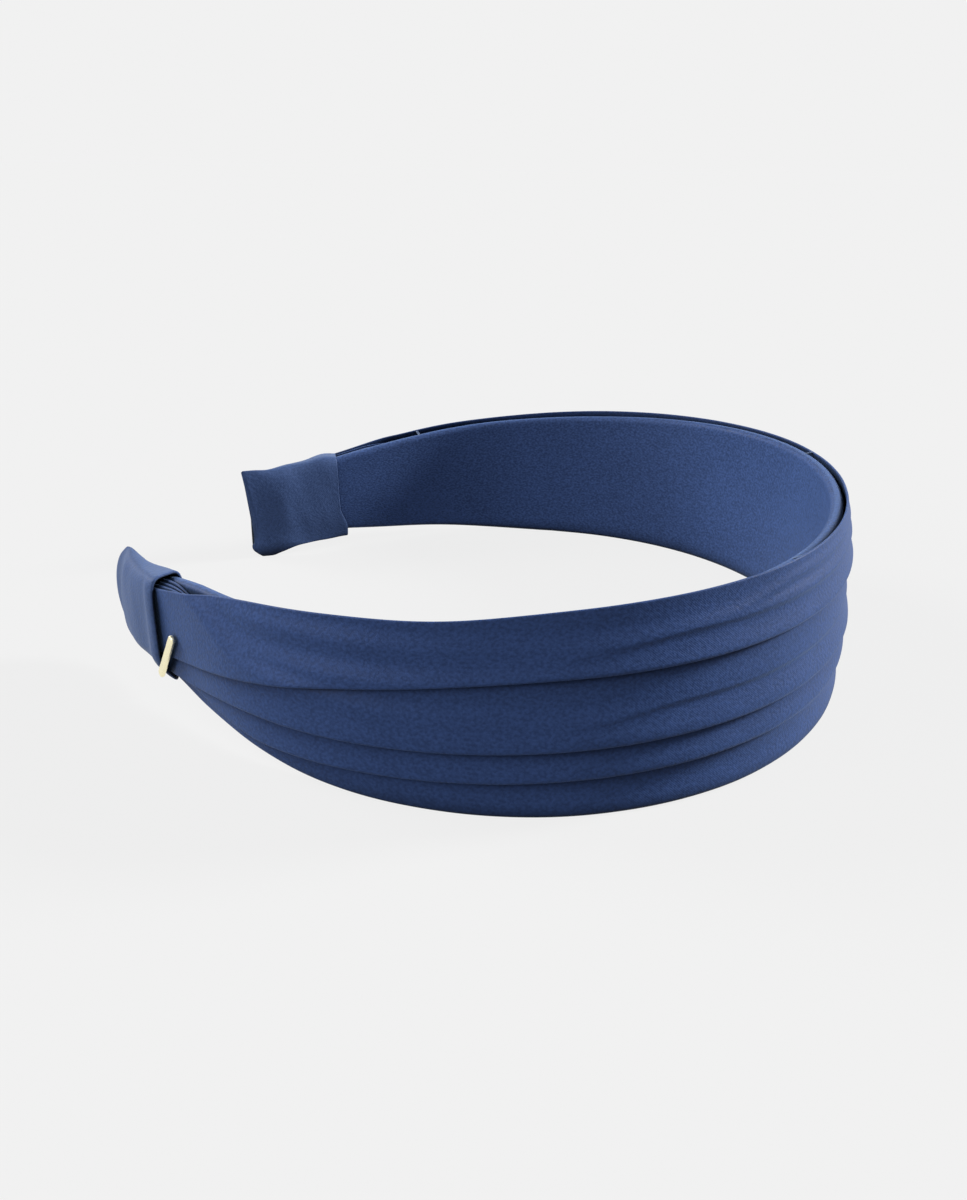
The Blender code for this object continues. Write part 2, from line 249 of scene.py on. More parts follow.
class Hoop:
    """Places on the headband, as it lies in the frame."""

    STEPS = 2000
    OVERRUN = 1.05    # how far past its end an arm is worked out, as a share

    def __init__(self, sizes):
        self.sizes = sizes
        s = np.linspace(0.0, sizes.half_length * self.OVERRUN, self.STEPS)
        crown, side, leg = 1.0 / sizes.crown_radius, 1.0 / sizes.side_radius, 1.0 / sizes.leg_radius
        bend = crown + (side - crown) * smooth(s / sizes.crown_ease)
        straighten = smooth((s - sizes.leg_start + sizes.leg_ease) / (2.0 * sizes.leg_ease))
        bend = bend + (leg - bend) * straighten
        self.s = s
        self.heading = self.summed(bend)
        self.x = self.summed(-np.sin(self.heading))
        self.y = self.summed(np.cos(self.heading))

    def summed(self, values):
        return np.concatenate([[0.0], np.cumsum((values[1:] + values[:-1]) / 2.0)]) * self.s[1]

    def rest(self):
        """From the hoop's own frame to the frame that it lies in."""
        tilt = Matrix.Rotation(-self.sizes.rest_tilt, 4, "Y")
        return Matrix.Translation(self.sizes.rest_place) @ tilt

    def place(self, s, r, z):
        """Points in the frame for arrays of s, r and z."""
        s, r, z = np.broadcast_arrays(s, r, z)
        heading = np.interp(np.abs(s), self.s, self.heading)
        x = np.interp(np.abs(s), self.s, self.x) + r * np.cos(heading)
        y = np.interp(np.abs(s), self.s, self.y) + r * np.sin(heading)
        points = np.stack([x, np.where(s < 0.0, -y, y), z], axis=-1)
        rest = np.array(self.rest())
        return points @ rest[:3, :3].T + rest[:3, 3]

    def share(self, s):
        return np.abs(s) / self.sizes.half_length

    def half_width(self, s):
        """Half the width over the strips."""
        taper = (1.0 - np.minimum(self.share(s), 1.0) ** self.sizes.taper_power) ** 2
        return (self.sizes.tip_width + (self.sizes.crown_width - self.sizes.tip_width) * taper) / 2.0

    def leg_sway(self, s):
        return bell((np.abs(s) - LEG_SWAY[0]) / LEG_SWAY[1])

    def band_edges(self, s):
        """Lower and upper rim of the lined band under the strips."""
        half = self.half_width(s) - grown(np.abs(s), TIP_ROUND)
        low = LEG_SWAY_BOTTOM * self.leg_sway(s) - half - peaked(np.abs(s), RIM_SAG)
        high = half - through(s, BAND_INSET) + grown(-s, MOUTH_RISE)
        return low, high

    def strip_edges(self, s, width):
        """Lower and upper edges of the four strips, top strip first."""
        t = self.share(s)
        half = self.half_width(s)
        gather = smooth((t - GATHER[0]) / GATHER[1])
        sway = self.leg_sway(s)
        rim = half + LEG_SWAY_TOP * sway - GATHER_TOP * gather
        bottoms = [high + change * smooth((t - start) / reach) for high, change, start, reach in FOLDS]
        bottoms.append(BOTTOM_FOLD_RISE + LEG_SWAY_BOTTOM * sway + GATHER_BOTTOM * gather - half)
        draw = grown(np.abs(s), SLEEVE_DRAW)
        bottoms[1:] = [bottom + draw for bottom in bottoms[1:]]
        dip = peaked(s, RIM_DIP)
        fan = smooth((np.abs(s) - FAN[0]) / FAN[1])
        page = grown(-s, PAGES)
        tops = [rim - dip]
        for step, bottom in enumerate(bottoms[1:], 1):
            top = np.minimum(bottom + width, rim - dip)
            tops.append(top + (rim - step * FAN[2] - top) * fan + step * page)
        return bottoms, tops


def hoop_of(context):
    return Hoop(context.scene.headband_hoop)


def cut_sheet(name, columns, rows):
    """A flat grid of cloth, one metre square until it is laid."""
    bpy.ops.object.select_all(action="DESELECT")
    bpy.ops.mesh.primitive_grid_add(x_subdivisions=columns, y_subdivisions=rows, size=1.0)
    sheet = bpy.context.object
    sheet.name = name
    sheet.data.name = name
    return sheet


def lay_sheet(sheet, points):
    """Moves the grid's points to points[column, row], and gives its UV map the cloth's own lengths."""
    mesh = sheet.data
    columns, rows = points.shape[0] - 1, points.shape[1] - 1
    flat = np.empty(len(mesh.vertices) * 3)
    mesh.vertices.foreach_get("co", flat)
    flat = flat.reshape(-1, 3)
    column = np.rint((flat[:, 0] + 0.5) * columns).astype(int)
    row = np.rint((flat[:, 1] + 0.5) * rows).astype(int)
    mesh.vertices.foreach_set("co", points[column, row].ravel())

    middle = rows // 2
    along = np.linalg.norm(np.diff(points[:, middle], axis=0), axis=1)
    along = np.concatenate([[0.0], np.cumsum(along)])
    across = np.linalg.norm(np.diff(points[columns // 2], axis=0), axis=1)
    across = np.concatenate([[0.0], np.cumsum(across)])
    corner = np.empty(len(mesh.loops), dtype=np.int32)
    mesh.loops.foreach_get("vertex_index", corner)
    uv = np.stack([along[column[corner]], across[row[corner]]], axis=1)
    mesh.uv_layers.active.data.foreach_set("uv", uv.ravel())
    mesh.update()
    return along[-1], across[-1]


def laid_sheet(name, hoop, s, rows):
    """A sheet laid along s by its rows of r and z, no lower than the floor, and its flat size."""
    r = np.stack([row[0] for row in rows], axis=1)
    z = np.stack([row[1] for row in rows], axis=1)
    points = hoop.place(s[:, None], r, z)
    points[..., 2] = np.maximum(points[..., 2], 0.0)
    sheet = cut_sheet(name, points.shape[0] - 1, points.shape[1] - 1)
    long, wide = lay_sheet(sheet, points)
    return sheet, (wide, long)


def apply_modifiers(piece):
    bpy.ops.object.select_all(action="DESELECT")
    piece.select_set(True)
    bpy.context.view_layer.objects.active = piece
    for modifier in list(piece.modifiers):
        bpy.ops.object.modifier_apply(modifier=modifier.name)
    bpy.ops.object.shade_smooth()


def finish_sheet(piece, node, finish):
    piece.data.materials.clear()
    piece.data.materials.append(finish)
    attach(piece, "root")
    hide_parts(node)


def noise_texture(tree, coordinates, scale, detail, roughness):
    texture = tree.nodes.new("ShaderNodeTexNoise")
    texture.inputs["Scale"].default_value = scale
    texture.inputs["Detail"].default_value = detail
    texture.inputs["Roughness"].default_value = roughness
    tree.links.new(coordinates, texture.inputs["Vector"])
    return texture.outputs["Fac"]


def ranged(tree, value, low, high, to_low, to_high):
    node = tree.nodes.new("ShaderNodeMapRange")
    tree.links.new(value, node.inputs["Value"])
    for socket, number in (("From Min", low), ("From Max", high), ("To Min", to_low), ("To Max", to_high)):
        node.inputs[socket].default_value = number
    return node.outputs["Result"]


def maths(tree, operation, first, second):
    node = tree.nodes.new("ShaderNodeMath")
    node.operation = operation
    for socket, value in zip(node.inputs, (first, second)):
        if isinstance(value, (int, float)):
            socket.default_value = value
        else:
            tree.links.new(value, socket)
    return node.outputs["Value"]


def scaled(tree, tint, factor):
    """A colour made lighter or darker by a factor."""
    node = tree.nodes.new("ShaderNodeVectorMath")
    node.operation = "SCALE"
    tree.links.new(tint, node.inputs[0])
    tree.links.new(factor, node.inputs["Scale"])
    return node.outputs["Vector"]


def bumped(tree, shader, height, strength, distance):
    """Lets a height tilt the shader's surface."""
    node = tree.nodes.new("ShaderNodeBump")
    node.inputs["Strength"].default_value = strength
    node.inputs["Distance"].default_value = distance
    tree.links.new(height, node.inputs["Height"])
    tree.links.new(node.outputs["Normal"], shader.inputs["Normal"])


def satin_group():
    """Grain of a satin weave on the cloth's own lengths: a colour, a roughness and a height."""
    group = bpy.data.node_groups.get("satin_grain")
    if group:
        return group
    group = bpy.data.node_groups.new("satin_grain", "ShaderNodeTree")
    sockets = (
        ("INPUT", "Colour", "NodeSocketColor"),
        ("INPUT", "Grain", "NodeSocketFloat"),
        ("INPUT", "Gloss", "NodeSocketFloat"),
        ("OUTPUT", "Colour", "NodeSocketColor"),
        ("OUTPUT", "Roughness", "NodeSocketFloat"),
        ("OUTPUT", "Height", "NodeSocketFloat"),
    )
    for side, name, kind in sockets:
        group.interface.new_socket(name, in_out=side, socket_type=kind)
    entry = group.nodes.new("NodeGroupInput")
    leave = group.nodes.new("NodeGroupOutput")
    place = group.nodes.new("ShaderNodeTexCoord")
    stretch = group.nodes.new("ShaderNodeMapping")
    stretch.inputs["Scale"].default_value = GRAIN_STRETCH
    stretch.inputs["Rotation"].default_value = GRAIN_TURN
    group.links.new(place.outputs["UV"], stretch.inputs["Vector"])

    fine = noise_texture(group, stretch.outputs["Vector"], *FINE_GRAIN)
    broad = noise_texture(group, place.outputs["UV"], *BROAD_GRAIN)
    threads = group.nodes.new("ShaderNodeTexWave")
    threads.inputs["Scale"].default_value = WEAVE_SCALE
    threads.inputs["Distortion"].default_value = WEAVE_DISTORTION
    threads.bands_direction = "DIAGONAL"
    group.links.new(place.outputs["UV"], threads.inputs["Vector"])

    speck = ranged(group, fine, *NOISE_SPAN, -1.0, 1.0)
    shade = maths(group, "MULTIPLY", speck, entry.outputs["Grain"])
    shade = maths(group, "ADD", shade, ranged(group, broad, *NOISE_SPAN, *BROAD_SHADE))
    group.links.new(scaled(group, entry.outputs["Colour"], shade), leave.inputs["Colour"])
    rough = maths(group, "ADD", entry.outputs["Gloss"], maths(group, "MULTIPLY", speck, GRAIN_GLOSS))
    group.links.new(rough, leave.inputs["Roughness"])
    height = maths(group, "ADD", maths(group, "MULTIPLY", threads.outputs["Fac"], WEAVE_HEIGHT), fine)
    group.links.new(height, leave.inputs["Height"])
    return group


def cloth_material(name, tint, grain, roughness, sheen, tinge):
    """Satin with a fine grain, a little bump, painted shade in its hollows and a sheen where it turns away.
    """
    finish = bpy.data.materials.get(name)
    if finish:
        return finish
    finish = bpy.data.materials.new(name)
    finish.use_nodes = True
    tree = finish.node_tree
    shader = tree.nodes["Principled BSDF"]
    weave = tree.nodes.new("ShaderNodeGroup")
    weave.node_tree = satin_group()
    weave.inputs["Colour"].default_value = (*tint, 1.0)
    weave.inputs["Grain"].default_value = grain
    weave.inputs["Gloss"].default_value = roughness
    bumped(tree, shader, weave.outputs["Height"], *CLOTH_BUMP)
    # Painted shade: ambient occlusion darkens the satin's colour in creases, under the folds and in gaps
    painted_shade_ao = tree.nodes.new("ShaderNodeAmbientOcclusion")
    painted_shade_ao.samples = PAINTED_SHADE_SAMPLES
    painted_shade_ao.inputs["Distance"].default_value = PAINTED_SHADE_REACH
    shade = ranged(tree, painted_shade_ao.outputs["AO"], *PAINTED_SHADE_SPAN, *PAINTED_SHADE_FACTORS)
    tree.links.new(scaled(tree, weave.outputs["Colour"], shade), shader.inputs["Base Color"])
    tree.links.new(weave.outputs["Roughness"], shader.inputs["Roughness"])
    shader.inputs["Specular IOR Level"].default_value = CLOTH_SPECULAR
    shader.inputs["Sheen Weight"].default_value = sheen
    shader.inputs["Sheen Roughness"].default_value = SHEEN_ROUGHNESS
    shader.inputs["Sheen Tint"].default_value = (*tinge, 1.0)
    return finish


def pleat_satin(context):
    tint = context.scene.headband_colours.satin
    return cloth_material("pleat_satin", tint, grain=0.22, roughness=0.50, sheen=0.14, tinge=BLUE_SHEEN)


def sleeve_satin(context):
    # Painted light: this colour is the strips' satin made lighter
    tint = context.scene.headband_colours.sleeve
    return cloth_material("sleeve_satin", tint, grain=0.14, roughness=0.50, sheen=0.10, tinge=PALE_SHEEN)


def inner_satin(context):
    # Painted light: this colour is the strips' satin made lighter
    tint = context.scene.headband_colours.lining
    return cloth_material("inner_satin", tint, grain=0.30, roughness=0.50, sheen=0.14, tinge=BLUE_SHEEN)


def sewing_thread(context):
    tint = context.scene.headband_colours.thread
    return cloth_material("sewing_thread", tint, grain=0.10, roughness=0.60, sheen=0.10, tinge=WHITE_SHEEN)


class HEADBAND_OT_lining(bpy.types.Operator):
    """Lays the lining round the inside of the hoop and over both rims"""

    bl_idname = "headband.lining"
    bl_label = "Lining"

    COLUMNS = 300
    FACE_ROWS = 60
    HEM_ROWS = 5
    ROUND_ROWS = 6
    OUTER_ROUND = 0.0009
    INNER_ROUND = 0.0012
    CREASE = (0.00045, 0.0024, 0.0005)    # depth, distance from the upper rim and half width
    CREASE_PLACE = (-0.020, 0.030)        # where on the crown it runs, and over what half length
    CREASE_WANDER = 0.0004                # how far it strays up and down
    CREASE_WAVES = 2.0                    # how much closer its waves are than the cloth's own

    def rim(self, depth):
        """Half of the section, from the hem's edge to the inner corner, as r and distance from the rim."""
        outer, inner = self.OUTER_ROUND, self.INNER_ROUND
        rows = []
        for part in np.linspace(0.0, 1.0, self.HEM_ROWS + 1)[:-1]:
            rows.append((HEM_FACE, depth + (outer - depth) * part))
        for turn in np.linspace(0.0, math.pi / 2.0, self.ROUND_ROWS + 1):
            rows.append((HEM_FACE - outer + outer * math.cos(turn), outer - outer * math.sin(turn)))
        for turn in np.linspace(math.pi / 2.0, math.pi, self.ROUND_ROWS + 1):
            rows.append((inner + inner * math.cos(turn), inner - inner * math.sin(turn)))
        return rows

    def crease(self, s, inwards):
        """A shallow crease where the cloth leaves the rim over the crown."""
        depth, down, half_width = self.CREASE
        middle = down + self.CREASE_WANDER * ripple(s * self.CREASE_WAVES, 0.0)
        window = bell((s - self.CREASE_PLACE[0]) / self.CREASE_PLACE[1])
        return depth * window * bell((inwards - middle) / half_width)

    def execute(self, context):
        hoop = hoop_of(context)
        s = np.linspace(-BAND_END, BAND_END, self.COLUMNS + 1)
        low, high = hoop.band_edges(s)
        rim = self.rim(np.minimum(HEM_DEPTH, (high - low) / 2.0 - HEM_GAP))
        rows = [(np.full_like(s, r), high - inwards) for r, inwards in rim]
        face = high - low - 2.0 * self.INNER_ROUND
        for part in np.linspace(0.0, 1.0, self.FACE_ROWS + 1)[1:-1]:
            inwards = self.INNER_ROUND + face * part
            rows.append((self.crease(s, inwards), high - inwards))
        rows += [(np.full_like(s, r), low + inwards) for r, inwards in rim[::-1]]
        sheet, flat = laid_sheet("lining_cloth", hoop, s, rows)
        wall = sheet.modifiers.new("cloth", "SOLIDIFY")
        wall.thickness = context.scene.headband_cloth.cloth
        wall.offset = -1.0
        apply_modifiers(sheet)
        finish = inner_satin(context)
        finish_sheet(sheet, "inner_lining", finish)
        return {"FINISHED"}


class HEADBAND_OT_pleat_strips(bpy.types.Operator):
    """Folds each strip of satin flat and lays it over the strip below"""

    bl_idname = "headband.pleat_strips"
    bl_label = "Pleat strips"

    COLUMNS = 300
    BACK_ROWS = 7
    ARC_ROWS = 9
    FRONT_ROWS = 60
    BACK_EDGES = (0.5, 0.55)    # where on its back a strip's two raw edges lie, as shares of its height
    UNEVEN = 0.00006            # how far the laid cloth stands out here and there
    PRESSED = (0.125, 0.033)    # where the folds are pressed flat towards the sleeves, and over what length
    SWELL_EASE = (0.080, 0.035, 0.70)    # where the swell settles, over what length and by what share
    PRESS = (0.0003, 0.004)     # how far the lowest fold is pressed onto the lining, and how far up

    # Long soft ridges over the crown, by strip: height and place of the lip, how far the ridge reaches
    # above and below it, where it starts to leave and over what length
    RIDGES = {
        0: (
            (0.00040, 0.0153, 0.0012, 0.0006, 0.042, 0.026),
            (0.00070, 0.0124, 0.0022, 0.0008, 0.066, 0.026),
        ),
        1: ((0.00075, 0.0012, 0.0030, 0.0008, 0.066, 0.026),),
    }
    RIDGE_DIVE = 0.0026         # how far a ridge runs down as it leaves

    def ridge(self, index, s, z):
        """How far the ridges of a strip stand out at height z."""
        total = 0.0
        for height, lip, over, under, end, reach in self.RIDGES.get(index, ()):
            leave = smooth((np.abs(s) - end) / reach)
            above = z - lip + self.RIDGE_DIVE * leave
            total = total + height * (1.0 - leave) * bell(above / np.where(above > 0.0, over, under))
        return total

    def lift(self, hoop, index, s, z, bottoms, tops):
        """Inner face of a strip at height z, over every strip that it covers there."""
        lift = STRIP_BASE + self.UNEVEN * (1.0 + ripple(s, z)) + self.ridge(index, s, z)
        if index == 0:
            close = smooth((hoop.share(s) - CROWN_GAP_END[0]) / CROWN_GAP_END[1])
            lift = lift + CROWN_GAP * (1.0 - close)
        if index == len(tops) - 1:
            lift = lift - self.PRESS[0] * bell((z - bottoms[index]) / self.PRESS[1])
        tight, loose = STRIP_PITCH
        pitch = tight + (loose - tight) * smooth((np.abs(s) - PITCH_EASE[0]) / PITCH_EASE[1])
        for top in tops[index + 1:]:
            lift = lift + pitch * (1.0 - smooth((z - top - TUCK_MARGIN) / TUCK_SLOPE))
        return lift

    def section(self, cloth, hoop, index, s):
        """Rows of r and z round a folded strip, from its back, under its fold and over its top."""
        bottoms, tops = hoop.strip_edges(s, cloth.strip_width)
        swell = cloth.fold_swell * (1.0 - smooth((np.abs(s) - self.PRESSED[0]) / self.PRESSED[1]))
        settle, reach, share = self.SWELL_EASE
        swell = swell * (1.0 - share * smooth((np.abs(s) - settle) / reach))
        low_radius = (cloth.strip_thickness + swell) / 2.0
        top_radius = cloth.strip_thickness / 2.0
        start = bottoms[index] + low_radius
        end = tops[index] - top_radius
        rows = []

        def layer(part, wall):
            z = start + (end - start) * part
            rows.append((self.lift(hoop, index, s, z, bottoms, tops) + wall, z))

        def turned(middle, z, radius, first, last):
            for turn in np.linspace(first, last, self.ARC_ROWS + 2)[1:-1]:
                rows.append((middle + radius * math.cos(turn), z + radius * math.sin(turn)))

        for part in np.linspace(self.BACK_EDGES[0], 0.0, self.BACK_ROWS):
            layer(part, 0.0)
        turned(rows[-1][0] + low_radius, start, low_radius, math.pi, 2.0 * math.pi)
        for part in np.linspace(0.0, 1.0, self.FRONT_ROWS):
            puff = swell * bell((end - start) * part / cloth.fold_reach)
            layer(part, cloth.strip_thickness + puff)
        turned(rows[-1][0] - top_radius, end, top_radius, 0.0, math.pi)
        for part in np.linspace(1.0, self.BACK_EDGES[1], self.BACK_ROWS):
            layer(part, 0.0)
        return rows

    def execute(self, context):
        hoop = hoop_of(context)
        cloth = context.scene.headband_cloth
        s = np.linspace(-STRIP_END, STRIP_END, self.COLUMNS + 1)
        for index, node in enumerate(STRIP_NAMES):
            sheet, flat = laid_sheet(node + "_cloth", hoop, s, self.section(cloth, hoop, index, s))
            wall = sheet.modifiers.new("cloth", "SOLIDIFY")
            wall.thickness = cloth.cloth
            wall.offset = -1.0
            apply_modifiers(sheet)
            finish_sheet(sheet, node, pleat_satin(context))
        return {"FINISHED"}


class HEADBAND_OT_end_sleeves(bpy.types.Operator):
    """Sews the two pockets that close the ends"""

    bl_idname = "headband.end_sleeves"
    bl_label = "End sleeves"

    POINTS = 96
    OUTSIDE_ROWS = 40
    POCKET_ROWS = 9
    LIP_ROWS = 6
    WALL = 0.0005
    INNER = -0.00025            # inside of the wall that lies on the lining, along r
    MOUTH_OUTER = 0.0060        # inside of the outer wall at the mouth
    TIP_OUTER = 0.00265         # inside of the outer wall at the end
    SEAM = 0.0005               # half thickness at the end seam
    SEAM_EDGE = 0.0004          # the seam's rounded edge
    CLOSE_START = 0.58          # share of the length at which the two sides start to meet
    MOUTH_FLARE = 0.0002        # how far the lip stands off
    FLARE_REACH = 0.003
    LIP_BULGE = 0.01            # how far the turned lip bulges out, as a share of the length
    ROLL = (0.0003, 0.0017, 0.0013)    # soft roll behind the lip: height, distance and half width
    SQUARE = (4.8, 2.4, 0.5)    # how square the ring is at the mouth, what it loses and over what share
    UNEVEN = 0.00010            # how far the cloth stands out here and there
    UNEVEN_WAVES = (3.0, 0.01)  # how close its waves are, along the sleeve and round it
    DROOP = (0.2, 0.6)          # where the droop starts below the middle, and over what share of the height
    SLANT_START = -0.0045       # below this the sleeve slants in over the fanned folds
    SLANT_SOFTNESS = 0.0006
    SLANT = (0.60, 0.35, 0.25)  # slope at the mouth, what it gains and over what share of the length
    MERGE = 1e-6                # points closer than this are one

    # Each sleeve's node, arm and shape: its end, its mouth on the hoop's outside and inside, how far the
    # inside mouth droops over the band at the bottom (below 0, how far it draws back), its upper and lower
    # edges by share of the length, and how far its end runs out by height
    SLEEVES = (
        (
            "end_sleeve_tagged",
            -1.0,
            {
                "end": 0.1938,
                "mouth": (0.1635, 0.1655),
                "droop": -0.0060,
                "upper_edge": ((0.0, 0.0114), (0.3, 0.0108), (0.6, 0.0109), (0.85, 0.0111), (1.0, 0.0107)),
                "lower_edge": ((0.0, -0.0094), (0.3, -0.0091), (0.6, -0.0088), (1.0, -0.0077)),
                "end_reach": (
                    (-1.0, -0.0060), (-0.75, -0.0024), (-0.4, -0.0003), (0.0, 0.0),
                    (0.4, -0.0014), (0.75, -0.0042), (1.0, -0.0076),
                ),
            },
        ),
        (
            "end_sleeve_plain",
            1.0,
            {
                "end": 0.1902,
                "mouth": (0.1645, 0.1667),
                "droop": 0.0018,
                "upper_edge": (
                    (0.0, 0.0095), (0.13, 0.0099), (0.33, 0.0091), (0.54, 0.0089),
                    (0.76, 0.0086), (0.88, 0.0090), (1.0, 0.0092),
                ),
                "lower_edge": (
                    (0.0, -0.0112), (0.2, -0.0111), (0.4, -0.0111), (0.6, -0.0114),
                    (0.77, -0.0125), (0.9, -0.0133), (1.0, -0.0130),
                ),
                "end_reach": (
                    (-1.0, -0.0030), (-0.88, -0.0014), (-0.78, -0.0010), (-0.6, -0.0018),
                    (-0.4, -0.0022), (0.0, -0.0017), (0.43, -0.0009), (1.0, 0.0001),
                ),
            },
        ),
    )

    def ring(self, power):
        """Directions round a ring: across the band's thickness and up it."""
        turn = 2.0 * math.pi * np.arange(self.POINTS + 1) / self.POINTS
        across = np.sign(np.cos(turn)) * np.abs(np.cos(turn)) ** (2.0 / power)
        up = np.sign(np.sin(turn)) * np.abs(np.sin(turn)) ** (2.0 / power)
        return across, up

    def rows(self, end, mouth, droop, upper_edge, lower_edge, end_reach):
        """Rows of s, r and z, from the bottom of the pocket to its mouth and outside to the end seam."""
        middle = (self.INNER + self.TIP_OUTER) / 2.0
        rows = []

        def add(share, wall, close, stretch):
            across, up = self.ring(self.SQUARE[0] - self.SQUARE[1] * smooth(share / self.SQUARE[2]))
            lip = (mouth[0] + mouth[1] + (mouth[0] - mouth[1]) * across) / 2.0
            lip = lip - droop * smooth((-up - self.DROOP[0]) / self.DROOP[1]) * (1.0 - across) / 2.0
            s = lip + (end - lip) * share + through(up, end_reach) * share**2
            thin = smooth((s - STRIP_END) / (end - STRIP_END))
            high = self.MOUTH_OUTER + (self.TIP_OUTER - self.MOUTH_OUTER) * thin + wall
            high = high + self.MOUTH_FLARE * bell((s - lip) / self.FLARE_REACH)
            high = high + stretch * self.ROLL[0] * bell((s - lip - self.ROLL[1]) / self.ROLL[2])
            low = self.INNER - wall
            top = through(share, upper_edge) - self.WALL + wall
            bottom = through(share, lower_edge) + self.WALL - wall
            z = (top + bottom) / 2.0 + (top - bottom) / 2.0 * up
            slope = self.SLANT[0] + self.SLANT[1] * smooth(share / self.SLANT[2])
            below = np.logaddexp(0.0, (self.SLANT_START - z) / self.SLANT_SOFTNESS) * self.SLANT_SOFTNESS
            high = np.maximum(high - slope * below, low + self.WALL)
            r = (high + low) / 2.0 + (high - low) / 2.0 * across
            waves = ripple(s * self.UNEVEN_WAVES[0], up * self.UNEVEN_WAVES[1])
            r = r + stretch * self.UNEVEN * waves * across
            r = r + (middle + self.SEAM * across - r) * close
            rows.append((s, r, z))

        pocket_share = (POCKET_END - mouth[0]) / (end - mouth[0])
        for share in np.linspace(pocket_share, 0.0, self.POCKET_ROWS):
            add(share, 0.0, 0.0, 0.0)
        for turn in np.linspace(0.0, math.pi, self.LIP_ROWS + 2)[1:-1]:
            add(-self.LIP_BULGE * math.sin(turn), self.WALL * (1.0 - math.cos(turn)) / 2.0, 0.0, 0.0)
        for share in np.linspace(0.0, 1.0, self.OUTSIDE_ROWS):
            close = smooth((share - self.CLOSE_START) / (1.0 - self.CLOSE_START))
            add(share, self.WALL, close, 1.0 - close)
        s, r, z = rows[-1]
        shrink = 1.0 - self.SEAM_EDGE / np.abs(z).max()
        rows.append((s + self.SEAM_EDGE, middle + (r - middle) / 2.0, z * shrink))
        return [np.stack(column) for column in zip(*rows)]

    def execute(self, context):
        hoop = hoop_of(context)
        for node, side, shape in self.SLEEVES:
            s, r, z = self.rows(**shape)
            points = hoop.place(side * s, r, z)
            if side < 0.0:
                points = points[:, ::-1]
            points[..., 2] = np.maximum(points[..., 2], 0.0)
            sheet = cut_sheet(node + "_cloth", points.shape[0] - 1, points.shape[1] - 1)
            long, wide = lay_sheet(sheet, points)
            bpy.ops.object.mode_set(mode="EDIT")
            bpy.ops.mesh.select_all(action="SELECT")
            bpy.ops.mesh.remove_doubles(threshold=self.MERGE)
            bpy.ops.mesh.select_all(action="DESELECT")
            bpy.ops.mesh.select_non_manifold()
            bpy.ops.mesh.fill_holes(sides=0)
            bpy.ops.object.mode_set(mode="OBJECT")
            apply_modifiers(sheet)
            finish_sheet(sheet, node, sleeve_satin(context))
        return {"FINISHED"}


class HEADBAND_OT_thread_tacks(bpy.types.Operator):
    """Sews the few tacks that hold the top strip to the lined rim"""

    bl_idname = "headband.thread_tacks"
    bl_label = "Thread tacks"

    PLACES = (0.1430, 0.0284, -0.0419)    # along s
    PASSES = (-0.00016, 0.00016)          # the thread's two passes at each place
    THREAD = 0.00011            # radius
    ROUND_STEPS = 3
    STAND = 0.00018             # how far the thread stands over the cloth
    RIM_HOLD = 0.0004           # how far either side of the lined rim's middle it starts and bends
    SUNK = 0.0002               # how far it starts below that rim
    TURN = 0.0003               # where it crosses the strip's edge, back from the outer face
    STITCH = 0.0006             # how far down the outer face it ends

    def execute(self, context):
        hoop = hoop_of(context)
        cloth = context.scene.headband_cloth
        tacks = []
        for place in self.PLACES:
            for aside in self.PASSES:
                s = np.array(place + aside)
                _, high = hoop.band_edges(s)
                _, tops = hoop.strip_edges(s, cloth.strip_width)
                rim = tops[0]
                near = HEM_FACE / 2.0
                far = STRIP_BASE + CROWN_GAP + cloth.strip_thickness
                route = (
                    (near - self.RIM_HOLD, high - self.SUNK),
                    (near + self.RIM_HOLD, high + self.STAND),
                    (STRIP_BASE, (high + rim) / 2.0),
                    (far - self.TURN, rim + self.STAND),
                    (far, rim - self.STITCH),
                )
                bpy.ops.object.select_all(action="DESELECT")
                bpy.ops.curve.primitive_nurbs_path_add()
                thread = context.object
                for point, (r, z) in zip(thread.data.splines[0].points, route):
                    point.co = (*hoop.place(s, r, z), 1.0)
                thread.data.bevel_depth = self.THREAD
                thread.data.bevel_resolution = self.ROUND_STEPS
                thread.data.use_fill_caps = True
                bpy.ops.object.convert(target="MESH")
                tacks.append(context.object)
        bpy.ops.object.select_all(action="DESELECT")
        for thread in tacks:
            thread.select_set(True)
        context.view_layer.objects.active = tacks[0]
        bpy.ops.object.join()
        sewn = context.object
        sewn.name = "thread_tacks"
        bpy.ops.object.shade_smooth()
        sewn.data.materials.append(sewing_thread(context))
        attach(sewn, "root")
        return {"FINISHED"}


class HEADBAND_OT_hard_parts(bpy.types.Operator):
    """Gives the metal tag and the hidden core their finishes"""

    bl_idname = "headband.hard_parts"
    bl_label = "Hard parts"

    GRAIN = (3.0, 0.6)          # detail and roughness of the noise
    GLOSS_SPREAD = 0.08
    BUMP = (0.2, 0.00005)       # strength and height

    def finish(self, name, tint, metallic, roughness, scale):
        """A finish whose gloss is a little uneven, with a grain of the given scale."""
        made = bpy.data.materials.new(name)
        made.use_nodes = True
        tree = made.node_tree
        shader = tree.nodes["Principled BSDF"]
        shader.inputs["Base Color"].default_value = (*tint, 1.0)
        shader.inputs["Metallic"].default_value = metallic
        place = tree.nodes.new("ShaderNodeTexCoord")
        grain = noise_texture(tree, place.outputs["Object"], scale, *self.GRAIN)
        spread = (roughness - self.GLOSS_SPREAD, roughness + self.GLOSS_SPREAD)
        tree.links.new(ranged(tree, grain, *NOISE_SPAN, *spread), shader.inputs["Roughness"])
        bumped(tree, shader, grain, *self.BUMP)
        return made

    def execute(self, context):
        colours = context.scene.headband_colours
        gold = self.finish("gold_metal", colours.gold, metallic=1.0, roughness=0.30, scale=900.0)
        plastic = self.finish("core_plastic", colours.core, metallic=0.0, roughness=0.55, scale=1500.0)
        for node, finish in (("metal_tag", gold), ("band_core", plastic)):
            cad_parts[node].material_slots[0].material = finish
        return {"FINISHED"}


